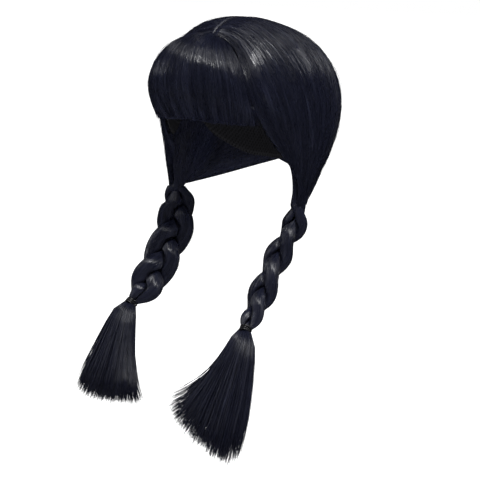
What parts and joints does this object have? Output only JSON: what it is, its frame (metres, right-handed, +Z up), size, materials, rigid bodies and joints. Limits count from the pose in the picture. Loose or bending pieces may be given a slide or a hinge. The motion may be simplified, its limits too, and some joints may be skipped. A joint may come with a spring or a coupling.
{
  "type": "plaited wig",
  "caption": "Long black wig on a soft cap, with a full fringe, a sewn centre parting and a plait on each side that ends in a banded, brushed-out tail.",
  "frame": {"origin": "inside top of the cap, where the crown of the head meets it", "axes": "+Z up, -Y the way the face looks, +X to the wearer's left"},
  "size_m": [0.222, 0.3243, 0.4657],
  "materials": {
    "hair": "glossy synthetic fibre, combed straight",
    "cap": "matt stretch net",
    "parting_seam": "matt stitched tape",
    "tie": "matt elastic"
  },
  "bodies": {
    "root": {"cap_front": "cap", "cap_crown": "cap", "parting_seam": "parting_seam", "fringe": "hair", "side_hair_left": "hair", "side_hair_right": "hair", "plait_left_strand_1": "hair", "plait_left_strand_2": "hair", "plait_left_strand_3": "hair", "plait_right_strand_1": "hair", "plait_right_strand_2": "hair", "plait_right_strand_3": "hair", "tail_left": "hair", "tail_right": "hair", "tie_left": "tie", "tie_right": "tie"}
  },
  "joints": []
}
